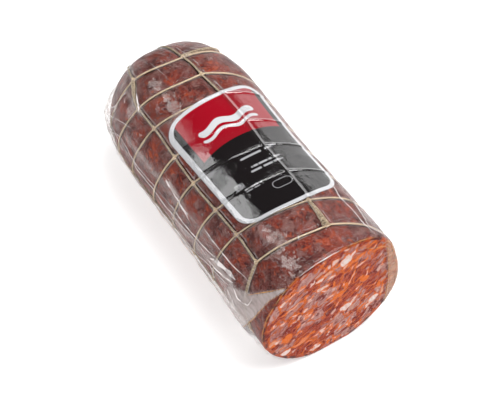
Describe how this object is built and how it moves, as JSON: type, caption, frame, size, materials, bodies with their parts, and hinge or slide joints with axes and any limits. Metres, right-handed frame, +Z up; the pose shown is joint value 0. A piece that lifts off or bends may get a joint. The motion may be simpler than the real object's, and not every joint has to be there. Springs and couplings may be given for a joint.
{
  "type": "ventricina salami",
  "caption": "Half of a thick dry-cured salami, cut at one end and rounded at the other, tied in a twine net, with a curved label, in a skin-tight clear bag.",
  "frame": {"origin": "middle of the bounding box, at table height", "axes": "+X along the salami towards the cut face, +Z up"},
  "size_m": [0.2364, 0.1052, 0.097],
  "materials": {
    "salami_in_film": "dark red-brown cured meat seen through clear glossy film, the cut end red-orange with pale fat",
    "twine": "pale tan twisted cotton twine under film",
    "label": "printed in deep red and near-black with a white border, glossy under the film"
  },
  "bodies": {
    "root": {"bagged_salami": "salami_in_film", "twine": "twine", "label": "label"}
  },
  "joints": []
}
